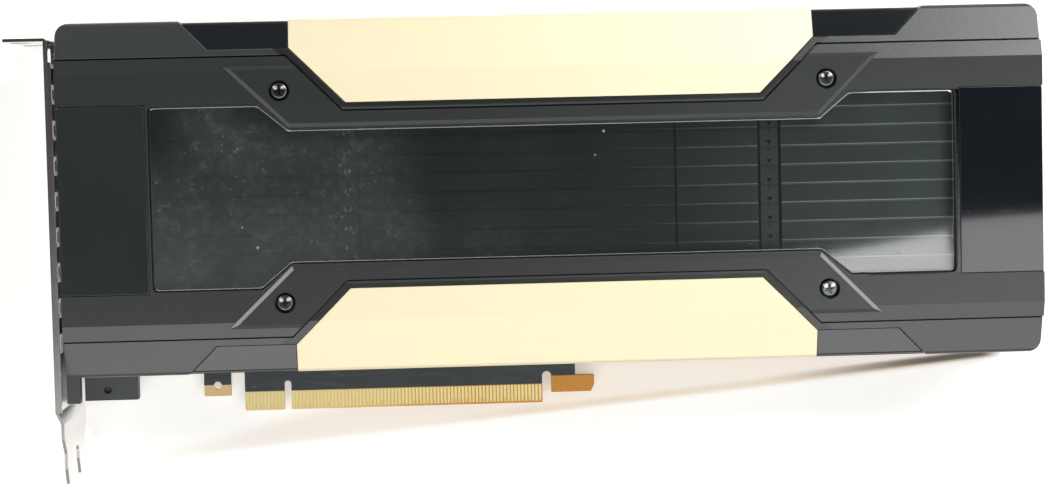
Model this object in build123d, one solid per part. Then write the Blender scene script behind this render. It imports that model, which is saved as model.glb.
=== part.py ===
from build123d import *
import math
import os

os.makedirs("parts", exist_ok=True)

# A passively cooled accelerator card, lying on its back, in millimetres.
# X runs along the card from the slot bracket to the rear end, Y from the card edge
# to the top edge, and Z out of the shroud's face.
# The origin is the key notch's centre on the card edge, in the board's middle plane.

# How far a cutting tool runs past what it cuts
over = 1.0

# Heights over the board
board_thick = 1.57
front_room = 34.79
back_room = 2.67

board_top_z = board_thick / 2
board_back_z = -board_thick / 2
face_z = board_top_z + front_room
rest_z = board_back_z - back_room

# Slot bracket
bracket_thick = 0.86
bracket_to_key = 59.05
bracket_top_y = 105.0
bracket_height = 120.02
bracket_foot_y = 5.0
bracket_lift = 0.3
tab_length = 11.43
tongue_width = 10.19
slot_pitch = 20.32
tongue_offset = 6.05
tongue_set = 1.4
lip_width = 1.8
lip_top_y = 98.6
notch_width = 4.42
notch_depth = 6.4
vent_width = 5.2
vent_length = 10.2
vent_pitch = 9.6
vents_per_row = 9
vent_row_z = (16.0, 28.4)
bracket_screw_z = 5.0
bracket_screw_length = 5.0
bracket_screw_set = 10.25
foot_root = 0.5
foot_joggle = 3.0
foot_shoulder_y = -2.0
fork_y = -6.5
fork_r = 2.5
tongue_nip = 2.2
vent_corner = 1.2

bracket_in_x = -bracket_to_key
bracket_out_x = bracket_in_x - bracket_thick
bracket_back_z = rest_z + bracket_lift

# Shroud
card_length = 267.7
shroud_left_x = -57.45
shroud_right_x = bracket_out_x + card_length
mid_y = 61.35
shroud_half = 47.6
crease_set = 14.2
crease_half = shroud_half - crease_set
bevel_fall = 0.317
skin = 2.0
arm_rise = 0.6
deck_z = face_z - arm_rise
corner_r = 3.5
small_corner_r = 0.8
eave_r = 1.5
cover_end_gap = 0.3
frame_depth = 6.0

# Small features at the bracket end of the covers
rest_block_set = (8.15, 5.45)
rest_block_y = tuple(mid_y + shroud_half - drop for drop in rest_block_set)
ear_width = 3.5
ear_drop = 6.9
bracket_ear_drop = (9.075, 5.075)
bracket_ear_z = tuple(face_z - drop for drop in bracket_ear_drop)
rest_block_gap = 0.3

# Split line between the centre frame and the edge covers
groove = 0.4
split_set = 9.85
waist_step = 14.95
split_half = shroud_half - split_set
waist_half = split_half - waist_step
waist_left_x = 18.8
waist_right_x = 131.8
rim = 1.95
lap_width = 1.2
lap_depth = 1.15
panel_gap = 0.15

# Panels and trims let into the edge covers
recess_depth = 1.1
panel_thick = 0.8
trim_thick = 0.5
panel_hem_z = 12.0
trim_left_x = -16.8
trim_right_x = 168.3

# Window and end plates
window_left_x = -33.1
right_plate_length = 22.94
window_set = 13.0
window_step = 6.7
window_half = split_half - window_set
window_waist_half = window_half - window_step
window_neck_x = (-3.85, 4.25, 146.9, 155.0)
window_corner_r = 1.5
window_chamfer = 0.4
window_gap = 0.2
window_flange = 2.0
window_sheet = 1.2
window_drop = 0.45
plate_overlap = 0.55
plate_half = window_half + plate_overlap
plate_depth = 1.0
plate_thick = 0.9
left_web = 0.7
right_web = 1.2
window_right_x = shroud_right_x - right_plate_length - right_web

# Raised arms of the centre frame
arm_foot = 0.5
arm_chamfer = 1.0
arm_set = 2.65
arm_outer = split_half - arm_set
arm_reach_x = (-13.0, 163.2)
arm_root = 1.5

# Shroud screws, their pillars and all other screws
pillar_x = (2.1, 148.9)
pillar_set = 3.6
pillar_half = window_half + pillar_set
pillar_r = 1.9
screw_r = 1.2
thread_gap = 0.05
hole_gap = 0.2
pan_r = 2.45
pan_height = 1.5
pan_bevel = 0.6
cross_length = 2.7
cross_width = 0.6
cross_turn = 20
bore_gap = 0.4
sink_r = 2.35
sink_gap = 0.1
shroud_screw_grip = 6.0
shroud_thread_depth = 10.0
board_screw_grip = 1.5
board_thread_depth = 2.0

# Board
board_left_x = -56.5
board_rear_set = 1.29
board_right_x = shroud_right_x - board_rear_set
board_low_y = 10.9
board_top_set = 0.95
board_high_y = mid_y + shroud_half - board_top_set
finger_left_x = -12.15
finger_right_x = 72.15
key_width = 1.9
key_depth = 8.25
latch_gap = 2.6
latch_slot_y = 8.87
hook_right_x = 87.0
hook_neck_x = 81.6
hook_low_y = 2.83
hook_high_y = 7.6
hook_chamfer = 1.0
side_tab_x = (-23.6, -15.95)
side_tab_y = 4.4
side_tab_hole_r = 1.1
side_tab_hole_drop = 0.2
edge_bevel = 0.5
bevel_over = 0.1
contact_pitch = 1.0
contact_width = 0.7
contact_low_y = 0.6
contact_high_y = 5.2
contact_thick = 0.05
contacts_before_key = 11
contacts_after_key = 71
first_contact = 1.5

# Cooling
fin_count = 16
fin_side_set = 6.4
fin_pitch = 2 * (shroud_half - fin_side_set) / fin_count
fin_thick = 0.4
fin_seam = 0.15
fin_low_z = 7.0
fin_head_room = 1.62
fin_high_z = deck_z - skin - panel_gap - window_sheet - fin_head_room
front_fins_x = (-50.0, 108.0)
rear_plenum = 17.8
rear_fins_x = (108.5, shroud_right_x - rear_plenum)
lock_width = 6.2
front_lock_x = 19.4
rear_lock_x = 133.9
lock_drop = 0.5
chamber_x = (6.0, 104.0)
chamber_side_set = 7.6
chamber_half = shroud_half - chamber_side_set
chamber_low_z = 3.7
chamber_corner_r = 2.0

# Base plate
base_inset = 0.4
base_top_z = 6.7
base_floor_z = 3.2
base_seat_z = board_top_z + 0.1
base_wall = 2.0
base_corner_r = 3.0
cover_foot_z = base_top_z + 0.2
chamber_gap = 0.5
boss_r = 2.5
board_screw_rear_set = 25.8
board_screw_side_set = 3.6
board_screw_x = (-48.0, 72.0, shroud_right_x - board_screw_rear_set)
board_screw_half = shroud_half - board_screw_side_set
post_size = 8.0
post_length = 5.5
foot_lug_x = (-56.4, -41.6)
foot_lug_y = 4.6
foot_lug_z = (1.0, 5.5)
rear_hole_half = 38.0
rear_hole_z = 3.8
rear_hole_r = 1.25
rear_hole_depth = 7.0
rear_pad = 7.0
rear_pad_web = 1.5
post_gap = 0.1
post_web = 0.5
lug_root = 1.0
dimple_offset = (-1.0, 3.0)
dimple_depth = 1.5
slot_gap = 0.6
row_margin = 0.5

# Processor package and power parts
gpu_x = (chamber_x[0] + chamber_x[1]) / 2
package_side = 55.0
package_lift = 0.05
package_top_z = 2.6
interposer = (46.0, 31.0, 0.15)
die = (26.0, 31.0)
memory_stack = (7.8, 11.9)
die_top_z = 3.6
ring_width = 4.5
ring_gap = 0.2
memory_gap = (0.6, 1.2)
retention_half = 32.0
inductor_x = (116.0, 140.0)
stage_x = (124.0, 132.0)
power_rows = 8
power_pitch = 9.0
inductor_side = 6.6
inductor_height = 4.3
inductor_bevel = 0.8
stage_size = (5.0, 6.0, 1.0)
connector_set = (27.6, 5.6)
connector_d = tuple(shroud_half - drop for drop in connector_set)
connector_depth = 15.5
connector_height = 11.0
connector_cells = 4
cell_pitch = 4.2
cell_side = 3.5
pin_side = 1.1
cell_depth = 11.0
cell_lift = 0.3
pin_tip_set = 2.5
connector_lift = 0.05
connector_gap = (1.0, 0.5)
latch_x = (6.0, 9.0)
latch_half = 2.5
latch_height = 1.6
capacitor = (7.3, 4.3, 1.9)
capacitor_x = 152.0
capacitor_rows = 5
capacitor_pitch = 12.0
controller = (9.0, 9.0, 0.9)
controller_places = ((-26.0, -18.0), (-26.0, 16.0), (168.0, -20.0))

# Backplate
backplate_thick = 1.2
film_thick = 0.2
spring_window_half = 37.0
spring_thick = 0.9
spring_gap = 0.15
spring_rim = 4.0
spring_open_half = 20.0
spring_open_cut = 8.0
spring_head = 0.6
film_inset = 1.0

backplate_in_z = rest_z + backplate_thick
spring_top_z = board_back_z - spring_gap
tan_half_turn = math.tan(math.radians(22.5))


def save(node, *shapes):
    """Write the solids of the given shapes as one node."""
    solids = [solid for shape in shapes for solid in shape.solids()]
    export_step(Compound(children=solids), f"parts/{node}.step")


def block(x, y, z):
    """A box from its low and high value on each axis."""
    size = (x[1] - x[0], y[1] - y[0], z[1] - z[0])
    return Pos((x[0] + x[1]) / 2, (y[0] + y[1]) / 2, (z[0] + z[1]) / 2) * Box(*size)


def rod(x, y, r, z):
    """An upright cylinder from z[0] to z[1]."""
    return Pos(x, y, (z[0] + z[1]) / 2) * Cylinder(r, z[1] - z[0])


def rod_x(x, y, z, r):
    """A cylinder along X from x[0] to x[1]."""
    return Pos((x[0] + x[1]) / 2, y, z) * Rot(0, 90, 0) * Cylinder(r, x[1] - x[0])


def outline(points, corner=0.0):
    """A flat face from its corner points, all rounded alike."""
    face = make_face(Polyline(*points, close=True))
    return fillet(face.vertices(), corner) if corner else face


def prism(face, z_low, z_high, taper=0.0):
    """A face of the XY plane stood up between two heights."""
    return Pos(0, 0, z_low) * extrude(face, z_high - z_low, dir=(0, 0, 1), taper=taper)


def rounded(x, half, corner):
    """A rounded rectangle about the shroud's middle line."""
    centre = Pos((x[0] + x[1]) / 2, mid_y)
    return centre * RectangleRounded(x[1] - x[0], 2 * half, corner)


def on_side(side, points):
    """Points of (x, distance from the middle line) on the upper or lower side."""
    return [(x, mid_y + side * d) for x, d in points]


def both_sides(points):
    """A closed outline from its upper half, mirrored about the middle line."""
    return on_side(1, points) + on_side(-1, points[::-1])


# The shroud's outer form, shared by its frame, covers, panels and trims
def section(depth, foot_z):
    """The shroud's cross-section, set in by a depth all round."""
    slant = math.hypot(1, bevel_fall)
    half = shroud_half - depth
    crease = crease_half - depth * (slant - 1) / bevel_fall
    eave_z = deck_z - (half - crease_half) * bevel_fall - depth * slant
    upper = [(half, foot_z), (half, eave_z), (crease, deck_z - depth)]
    points = [(mid_y + d, z) for d, z in upper] + [(mid_y - d, z) for d, z in upper[::-1]]
    face = make_face(Polyline(*points, close=True))
    if depth < eave_r:
        eaves = [v for v in face.vertices() if abs(v.Y - eave_z) < 0.01]
        face = fillet(eaves, eave_r - depth)
    return face


def core(depth, foot_z=cover_foot_z, overrun=0.0):
    """The shroud's outer form as a solid bar, set in by a depth."""
    start = shroud_left_x - overrun
    length = shroud_right_x - shroud_left_x + 2 * overrun
    return extrude(Plane.YZ.offset(start) * section(depth, foot_z), length, dir=(1, 0, 0))


def layer(outer_depth, inner_depth, foot_z=cover_foot_z):
    """The part of the shroud's wall between two depths."""
    return core(outer_depth, foot_z) - core(inner_depth, foot_z - over, overrun=over)


def waist_path(offset):
    """The split line's bends, moved outwards from the groove's middle."""
    run = split_half - waist_half
    shift = offset * tan_half_turn
    return [
        (waist_left_x - run + shift, split_half + offset),
        (waist_left_x + shift, waist_half + offset),
        (waist_right_x - shift, waist_half + offset),
        (waist_right_x + run - shift, split_half + offset),
    ]


def frame_plan(offset):
    """All that lies between the two split lines, moved outwards by an offset."""
    edge = split_half + offset
    plan = [(shroud_left_x, edge), *waist_path(offset), (shroud_right_x, edge)]
    return prism(outline(both_sides(plan)), deck_z - frame_depth, face_z + over)


def centre_frame():
    """The screwed-on frame round the window, with its raised arms."""
    body = frame_plan(-groove / 2)
    frame = (layer(0, skin) & body) + (layer(lap_depth, skin) & frame_plan(lap_width))
    for side in (1, -1):
        foot = [
            (arm_reach_x[0], arm_outer),
            (window_neck_x[1], window_waist_half + arm_foot),
            (window_neck_x[2], window_waist_half + arm_foot),
            (arm_reach_x[1], arm_outer),
        ]
        arm_face = outline(on_side(side, foot))
        slope = math.degrees(math.atan(arm_chamfer / arm_rise))
        arm = prism(arm_face, deck_z - arm_root, deck_z) + prism(arm_face, deck_z, face_z, slope)
        frame = frame + (arm & body)
    opening = outline(both_sides(window_points(0)), window_corner_r)
    frame = frame - prism(opening, deck_z - frame_depth, face_z + over)
    frame = frame - prism(opening, deck_z - window_chamfer, face_z + over, taper=-45)
    for x in plate_ends():
        bed = block(x, (mid_y - plate_half, mid_y + plate_half), (deck_z - plate_depth, face_z))
        frame = frame - bed
    head_seat_z = face_z - pan_height
    for x in pillar_x:
        for side in (1, -1):
            y = mid_y + side * pillar_half
            frame = frame - rod(x, y, pan_r + bore_gap, (head_seat_z, face_z + over))
            frame = frame - rod(x, y, screw_r + hole_gap, (deck_z - frame_depth, face_z))
    return frame


def window_points(offset):
    """The window opening's upper half, moved outwards by an offset."""
    neck = window_neck_x
    return [
        (window_left_x - offset, window_half + offset),
        (neck[0] + offset * tan_half_turn, window_half + offset),
        (neck[1] + offset * tan_half_turn, window_waist_half + offset),
        (neck[2] - offset * tan_half_turn, window_waist_half + offset),
        (neck[3] - offset * tan_half_turn, window_half + offset),
        (window_right_x + offset, window_half + offset),
    ]


def plate_ends():
    """The X stretch of the left and the right end plate's bed."""
    return (
        (shroud_left_x - over, window_left_x - left_web),
        (window_right_x + right_web, shroud_right_x + over),
    )


def window_panel():
    """The clear panel: a sheet behind the frame with a raised field in its opening."""
    field_top = deck_z - window_drop
    sheet_top = deck_z - skin - panel_gap
    field = outline(both_sides(window_points(-window_gap)), window_corner_r)
    sheet = outline(both_sides(window_points(window_flange)), window_corner_r)
    return prism(sheet, sheet_top - window_sheet, sheet_top) + prism(field, sheet_top, field_top)


def end_plate(bed):
    """A glossy plate that fills its bed at one end of the window."""
    x = (max(bed[0], shroud_left_x) + panel_gap, min(bed[1], shroud_right_x) - panel_gap)
    half = plate_half - panel_gap
    floor_z = deck_z - plate_depth
    return prism(rounded(x, half, small_corner_r), floor_z, floor_z + plate_thick)


def recess_points(clearance):
    """The outline of the recess that holds a gold panel and its two trims."""
    inner = split_half + rim + clearance
    rise = shroud_half + over - inner
    bends = waist_path(rim + clearance)
    return [
        (trim_left_x - rise + clearance, shroud_half + over),
        (trim_left_x + clearance, inner),
        *bends,
        (trim_right_x - clearance, inner),
        (trim_right_x + rise - clearance, shroud_half + over),
    ]


def edge_cover(side):
    """The long cover of one edge, with its side wall and the recess for its panels."""
    half_groove = groove / 2
    edge = split_half + half_groove
    x = (shroud_left_x, shroud_right_x - cover_end_gap)
    path = [(x[0], edge), *waist_path(half_groove), (x[1], edge)]
    plan = outline(on_side(side, [(x[0], shroud_half), *path, (x[1], shroud_half)]))
    outer = plan.vertices().filter_by(lambda v: abs(abs(v.Y - mid_y) - shroud_half) < 0.01)
    front, rear = outer.sort_by(Axis.X)
    front_r = corner_r if side > 0 else small_corner_r
    plan = fillet(fillet([front], front_r).vertices().sort_by_distance(rear)[:1], corner_r)
    cover = layer(0, skin) & prism(plan, cover_foot_z, face_z)
    recess = prism(outline(on_side(side, recess_points(0))), panel_hem_z, face_z)
    cover = cover - (recess - core(recess_depth, overrun=over))
    cover = cover - (frame_plan(lap_width + panel_gap) & core(lap_depth - panel_gap, overrun=over))
    if side > 0:
        rest_x = (bracket_in_x + rest_block_gap, shroud_left_x + skin)
        return cover + block(rest_x, rest_block_y, bracket_ear_z)
    ear_x = (shroud_left_x, shroud_left_x + ear_width)
    ear_top = mid_y - shroud_half + skin / 2
    return cover + block(ear_x, (ear_top - skin / 2 - ear_drop, ear_top), bracket_ear_z)


def gold_panel(side):
    """The folded sheet panel over the middle of one edge."""
    bends = waist_path(rim + panel_gap)
    plan = [(bends[0][0], shroud_half + over), *bends, (bends[-1][0], shroud_half + over)]
    depth = recess_depth - panel_gap
    sheet = layer(depth - panel_thick, depth)
    return sheet & prism(outline(on_side(side, plan)), panel_hem_z + panel_gap, face_z)


def gloss_trim(side, end):
    """The glossy trim between a gold panel and the textured end of its cover."""
    points = recess_points(panel_gap)
    bends = waist_path(rim + panel_gap)
    if end == "front":
        stop = bends[0][0] - panel_gap
        plan = [points[0], points[1], (stop, points[1][1]), (stop, shroud_half + over)]
    else:
        stop = bends[-1][0] + panel_gap
        plan = [points[-1], points[-2], (stop, points[-2][1]), (stop, shroud_half + over)]
    depth = recess_depth - panel_gap
    sheet = layer(depth - trim_thick, depth)
    return sheet & prism(outline(on_side(side, plan)), panel_hem_z + panel_gap, face_z)


def pan_screw(x, y, head_z, tip_z):
    """A pan-head screw pointing down, its head's top bevelled, with a cross recess."""
    head = rod(x, y, pan_r, (head_z - pan_height, head_z))
    head = chamfer(head.edges().sort_by(Axis.Z)[-1:], pan_bevel)
    for turn in (0, 90):
        bar = Box(cross_length, cross_width, pan_height)
        head = head - Pos(x, y, head_z) * Rot(0, 0, turn + cross_turn) * bar
    return head + rod(x, y, screw_r, (tip_z, head_z - pan_height / 2))


# The board
def circuit_board():
    """The board with its card edge, key, latch hook and side tab."""
    key = key_width / 2
    slot = finger_right_x + latch_gap
    slot_r = latch_gap / 2
    plan = [
        (board_left_x, board_low_y),
        (side_tab_x[0], board_low_y),
        (side_tab_x[0], side_tab_y),
        (side_tab_x[1], side_tab_y),
        (side_tab_x[1], board_low_y),
        (finger_left_x, board_low_y),
        (finger_left_x, 0),
        (finger_right_x, 0),
        (finger_right_x, latch_slot_y - slot_r),
        (slot, latch_slot_y - slot_r),
        (slot, hook_low_y),
        (hook_right_x - hook_chamfer, hook_low_y),
        (hook_right_x, hook_low_y + 2 * hook_chamfer),
        (hook_right_x, hook_high_y),
        (hook_neck_x, hook_high_y),
        (hook_neck_x, board_low_y),
        (board_right_x, board_low_y),
        (board_right_x, board_high_y),
        (board_left_x, board_high_y),
    ]
    z = (board_back_z, board_top_z)
    board = prism(outline(plan), *z)
    board = board - rod(finger_right_x + slot_r, latch_slot_y - slot_r, slot_r, z)
    board = board - block((-key, key), (-over, key_depth - key), z)
    board = board - rod(0, key_depth - key, key, z)
    tab_middle = sum(side_tab_x) / 2
    board = board - rod(tab_middle, hook_high_y - side_tab_hole_drop, side_tab_hole_r, z)
    for side in (1, -1):
        wedge = [
            (-bevel_over, side * (board_top_z + bevel_over)),
            (-bevel_over, side * (board_top_z - edge_bevel / 2)),
            (2 * edge_bevel, side * (board_top_z + bevel_over)),
        ]
        face = Plane.YZ.offset(finger_left_x - over) * make_face(Polyline(*wedge, close=True))
        board = board - extrude(face, finger_right_x - finger_left_x + 1.5 * over, dir=(1, 0, 0))
    for x, y in board_screw_places() + retention_places():
        board = board - rod(x, y, screw_r + hole_gap, z)
    return board


def board_screw_places():
    """Where screws join the backplate, the board and the base plate."""
    return [(x, mid_y + side * board_screw_half) for x in board_screw_x for side in (1, -1)]


def retention_places():
    """Where the spring plate's screws pass the board, round the processor."""
    offsets = [(i, j) for i in (-1, 1) for j in (-1, 1)]
    return [(gpu_x + i * retention_half, mid_y + j * retention_half) for i, j in offsets]


def edge_contacts():
    """The gold contacts on both faces of the card edge."""
    before = [-first_contact - i * contact_pitch for i in range(contacts_before_key)]
    after = [first_contact + i * contact_pitch for i in range(contacts_after_key)]
    pads = []
    for side in (1, -1):
        skin_z = side * board_top_z
        z = sorted((skin_z, skin_z + side * contact_thick))
        for x in before + after:
            across = (x - contact_width / 2, x + contact_width / 2)
            pads.append(block(across, (contact_low_y, contact_high_y), z))
    return pads


# Cooling
def fin(index, x, lock_x, clear_pillars):
    """One folded fin: a wall with a flange at its head and foot, and a lock joggle."""
    low_y = mid_y + (index - fin_count / 2) * fin_pitch
    high_y = low_y + fin_pitch - fin_seam
    wall = block(x, (low_y, low_y + fin_thick), (fin_low_z, fin_high_z))
    foot = block(x, (low_y, high_y), (fin_low_z, fin_low_z + fin_thick))
    head = block(x, (low_y, high_y), (fin_high_z - fin_thick, fin_high_z))
    lock = (lock_x - lock_width / 2, lock_x + lock_width / 2)
    cut = block(lock, (low_y - over, high_y + over), (fin_high_z - lock_drop, fin_high_z + over))
    step_z = (fin_high_z - lock_drop - fin_thick, fin_high_z - lock_drop)
    step = block((lock[0] - fin_thick, lock[1] + fin_thick), (low_y, high_y), step_z)
    riser_z = (step_z[0], fin_high_z)
    risers = [block((edge - fin_thick, edge), (low_y, high_y), riser_z)
              for edge in (lock[0], lock[1] + fin_thick)]
    piece = wall + foot + head - cut + step + risers[0] + risers[1]
    bore = pillar_r + hole_gap
    for px, py in clear_pillars:
        if low_y - bore < py < high_y + bore:
            piece = piece - rod(px, py, bore, (fin_low_z - over, fin_high_z + over))
    return piece


def fin_stack(x, lock_x):
    """All fins of one stack, side by side with their seams open."""
    inside = [p for p in pillar_places() if x[0] < p[0] < x[1]]
    return [fin(i, x, lock_x, inside) for i in range(fin_count)]


def pillar_places():
    """Where the shroud screws go."""
    return [(x, mid_y + side * pillar_half) for x in pillar_x for side in (1, -1)]


def vapour_chamber():
    """The flat heat spreader on the processor, with its four screw posts."""
    plate = prism(rounded(chamber_x, chamber_half, chamber_corner_r), chamber_low_z, fin_low_z)
    for x, y in retention_places():
        z = (base_seat_z, chamber_low_z)
        plate = plate + block((x - boss_r, x + boss_r), (y - boss_r, y + boss_r), z)
        plate = plate - rod(x, y, screw_r + thread_gap, (z[0] - over, z[1] + over))
    return plate


def base_plate():
    """The cast plate that carries the board, the fins, the shroud and the bracket."""
    x = (shroud_left_x + base_inset, shroud_right_x - base_inset)
    half = shroud_half - base_inset
    plate = prism(rounded(x, half, base_corner_r), base_seat_z, base_top_z)
    inner_x = (x[0] + base_wall, x[1] - base_wall)
    hollow = rounded(inner_x, half - base_wall, base_corner_r - base_wall / 2)
    room = prism(hollow, base_seat_z - over, base_floor_z)
    for px, py in board_screw_places():
        boss = block((px - boss_r, px + boss_r), (py - boss_r, py + boss_r), (0, base_floor_z))
        room = room - boss
    for y in rear_hole_places():
        pad = (y - rear_pad / 2, y + rear_pad / 2)
        depth = rear_hole_depth + rear_pad_web
        room = room - block((x[1] - depth, x[1]), pad, (0, base_floor_z))
    plate = plate - room
    through_z = (0, base_top_z + over)
    bay = (chamber_x[0] - chamber_gap, chamber_x[1] + chamber_gap)
    plate = plate - prism(rounded(bay, chamber_half + chamber_gap, chamber_corner_r), *through_z)
    reach = power_pitch * power_rows / 2 + row_margin
    for slot_x in inductor_x:
        wide = inductor_side / 2 + slot_gap
        slot = (slot_x - wide, slot_x + wide)
        plate = plate - block(slot, (mid_y - reach, mid_y + reach), through_z)
    gap_x, gap_y = connector_gap
    inlet_x = (x[1] - connector_depth - gap_x, x[1] + over)
    inlet_y = (mid_y + connector_d[0] - gap_y, mid_y + connector_d[1] + gap_y)
    plate = plate - block(inlet_x, inlet_y, through_z)
    for y in bracket_screw_places():
        post_y = (y - post_size / 2, y + post_size / 2)
        post_x = (bracket_in_x + post_gap, bracket_in_x + post_gap + post_length)
        plate = plate + block(post_x, post_y, (base_seat_z, base_seat_z + post_size))
    plate = plate + block(foot_lug_x, (foot_lug_y, mid_y - half + lug_root), foot_lug_z)
    dimple_x = sum(foot_lug_x) / 2 + dimple_offset[0]
    dimple_z = (foot_lug_z[1] - dimple_depth, foot_lug_z[1] + over)
    plate = plate - rod(dimple_x, foot_lug_y + dimple_offset[1], side_tab_hole_r, dimple_z)
    for px, py in pillar_places():
        plate = plate + rod(px, py, pillar_r, (base_floor_z, deck_z - skin - panel_gap))
        thread_z = (deck_z - skin - shroud_thread_depth, face_z)
        plate = plate - rod(px, py, screw_r + thread_gap, thread_z)
    for px, py in board_screw_places():
        thread_z = (base_seat_z - over, base_floor_z + board_thread_depth)
        plate = plate - rod(px, py, screw_r + thread_gap, thread_z)
    for y in bracket_screw_places():
        screw_x = (bracket_in_x - over, bracket_in_x + post_length - post_web)
        plate = plate - rod_x(screw_x, y, bracket_screw_z, screw_r + thread_gap)
    for y in rear_hole_places():
        plate = plate - rod_x((x[1] - rear_hole_depth, x[1] + over), y, rear_hole_z, rear_hole_r)
    return plate


def rear_hole_places():
    """The Y places of the threaded holes for an extender bracket."""
    return (mid_y - rear_hole_half, mid_y - rear_hole_half / 2)


# Slot bracket
def io_bracket():
    """The vented bracket: a plate with its tab, its lip and its forked foot."""
    z = (bracket_back_z, face_z)
    x = (bracket_out_x, bracket_in_x)
    plate = block(x, (bracket_foot_y, bracket_top_y), z)
    tab_x = (bracket_in_x - tab_length, bracket_in_x)
    tab = block(tab_x, (bracket_top_y - bracket_thick, bracket_top_y), z)
    bend_edges = (plate + tab).edges().filter_by(Axis.Z)
    corner = bend_edges.filter_by(lambda e: abs(e.center().X - bracket_in_x) < 0.01
                                  and abs(e.center().Y - bracket_top_y) < 0.01)
    bracket = fillet(corner, bracket_thick)
    lip_z = (face_z - bracket_thick, face_z)
    lip = block((bracket_out_x, bracket_out_x + lip_width), (bracket_foot_y, lip_top_y), lip_z)
    bracket = bracket + lip + bracket_foot(z)
    for centre_z in tongue_centres():
        notch = (tab_x[0] - over, tab_x[0] + notch_depth - notch_width / 2)
        gap_z = (centre_z - notch_width / 2, centre_z + notch_width / 2)
        cut_y = (bracket_top_y - bracket_thick - over, bracket_top_y + over)
        bracket = bracket - block(notch, cut_y, gap_z)
        end = Pos(notch[1], sum(cut_y) / 2, centre_z) * Rot(90, 0, 0)
        bracket = bracket - end * Cylinder(notch_width / 2, cut_y[1] - cut_y[0])
    for row_z in vent_row_z:
        for i in range(vents_per_row):
            y = mid_y + (i - (vents_per_row - 1) / 2) * vent_pitch
            vent = chamfer(Rectangle(vent_width, vent_length).vertices(), vent_corner)
            face = Plane.YZ.offset(bracket_out_x - over) * Pos(y, row_z) * vent
            bracket = bracket - extrude(face, bracket_thick + 2 * over, dir=(1, 0, 0))
    for y in bracket_screw_places():
        span = (bracket_out_x - over, bracket_in_x + over)
        bracket = bracket - rod_x(span, y, bracket_screw_z, screw_r + hole_gap)
    return bracket


def tongue_centres():
    """The height of each tongue's middle, one for each slot."""
    return (tongue_offset, tongue_offset + slot_pitch)


def bracket_foot(z):
    """The bracket's foot: set in by a joggle, shouldered, and forked into two tongues."""
    tip_y = bracket_top_y - bracket_height
    low_y = bracket_foot_y - foot_joggle
    side_view = [
        (bracket_out_x, bracket_foot_y + foot_root),
        (bracket_out_x, bracket_foot_y),
        (bracket_out_x + tongue_set, low_y),
        (bracket_out_x + tongue_set, tip_y),
        (bracket_in_x + tongue_set, tip_y),
        (bracket_in_x + tongue_set, low_y),
        (bracket_in_x, bracket_foot_y),
        (bracket_in_x, bracket_foot_y + foot_root),
    ]
    sheet = prism(outline(side_view), *z)
    front_view = [(bracket_foot_y + over, z[0]), (foot_shoulder_y, z[0])]
    for centre_z in tongue_centres():
        edges = (centre_z - tongue_width / 2, centre_z + tongue_width / 2)
        front_view += [
            (fork_y, edges[0]),
            (tip_y + 2 * tongue_nip, edges[0]),
            (tip_y, edges[0] + tongue_nip),
            (tip_y, edges[1] - tongue_nip),
            (tip_y + 2 * tongue_nip, edges[1]),
            (fork_y, edges[1]),
        ]
    front_view += [(foot_shoulder_y, z[1]), (bracket_foot_y + over, z[1])]
    face = make_face(Polyline(*front_view, close=True))
    fork = face.vertices().filter_by(lambda v: abs(v.X - fork_y) < 0.01).sort_by(Axis.Y)[1:3]
    form = Plane.YZ.offset(bracket_out_x - over) * fillet(fork, fork_r)
    return sheet & extrude(form, bracket_thick + tongue_set + 2 * over, dir=(1, 0, 0))


def bracket_screw_places():
    """The Y places of the screws that hold the bracket."""
    half = shroud_half - bracket_screw_set
    return (mid_y - half, mid_y + half)


def bracket_screws():
    """The two screws that hold the bracket to the base plate."""
    screws = []
    for y in bracket_screw_places():
        screw = pan_screw(0, 0, 0, -pan_height - bracket_screw_length)
        place = Pos(bracket_out_x - pan_height, y, bracket_screw_z)
        screws.append(place * Rot(0, -90, 0) * screw)
    return screws


# Processor package
def on_board(x, y, size, low_z, height):
    """A block of size (x, y) centred at a place, from low_z up."""
    wide, deep = size[0] / 2, size[1] / 2
    return block((x - wide, x + wide), (y - deep, y + deep), (low_z, low_z + height))


def package_ring():
    """The stiffening frame round the edge of the package."""
    height = die_top_z - package_top_z - ring_gap
    outer = on_board(gpu_x, mid_y, (package_side, package_side), package_top_z, height)
    bore = package_side - 2 * ring_width
    return outer - on_board(gpu_x, mid_y, (bore, bore), package_top_z - over, height + 2 * over)


def memory_stacks():
    """Four memory stacks, two at each side of the processor die."""
    reach_x = die[0] / 2 + memory_stack[0] / 2 + memory_gap[0]
    reach_y = memory_stack[1] / 2 + memory_gap[1]
    low_z = package_top_z + interposer[2]
    height = die_top_z - low_z
    return [on_board(gpu_x + i * reach_x, mid_y + j * reach_y, memory_stack, low_z, height)
            for i in (-1, 1) for j in (-1, 1)]


def column(count, pitch):
    """The Y places of a column of equal parts about the middle line."""
    return [mid_y + (i - (count - 1) / 2) * pitch for i in range(count)]


def power_column(height, low_z=board_top_z):
    """Two columns of blocks on the power stages' places."""
    return [on_board(x, y, stage_size, low_z, height)
            for x in stage_x for y in column(power_rows, power_pitch)]


def power_inductors():
    """The moulded inductors, their upright edges bevelled."""
    coils = []
    for x in inductor_x:
        for y in column(power_rows, power_pitch):
            coil = on_board(x, y, (inductor_side, inductor_side), board_top_z, inductor_height)
            coils.append(chamfer(coil.edges().filter_by(Axis.Z), inductor_bevel))
    return coils


def bulk_capacitors():
    """The flat capacitors beside the power stages."""
    places = column(capacitor_rows, capacitor_pitch)
    return [on_board(capacitor_x, y, capacitor, board_top_z, capacitor[2]) for y in places]


def controller_chips():
    """The small control chips on the board."""
    return [on_board(x, mid_y + d, controller, board_top_z, controller[2])
            for x, d in controller_places]


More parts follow.
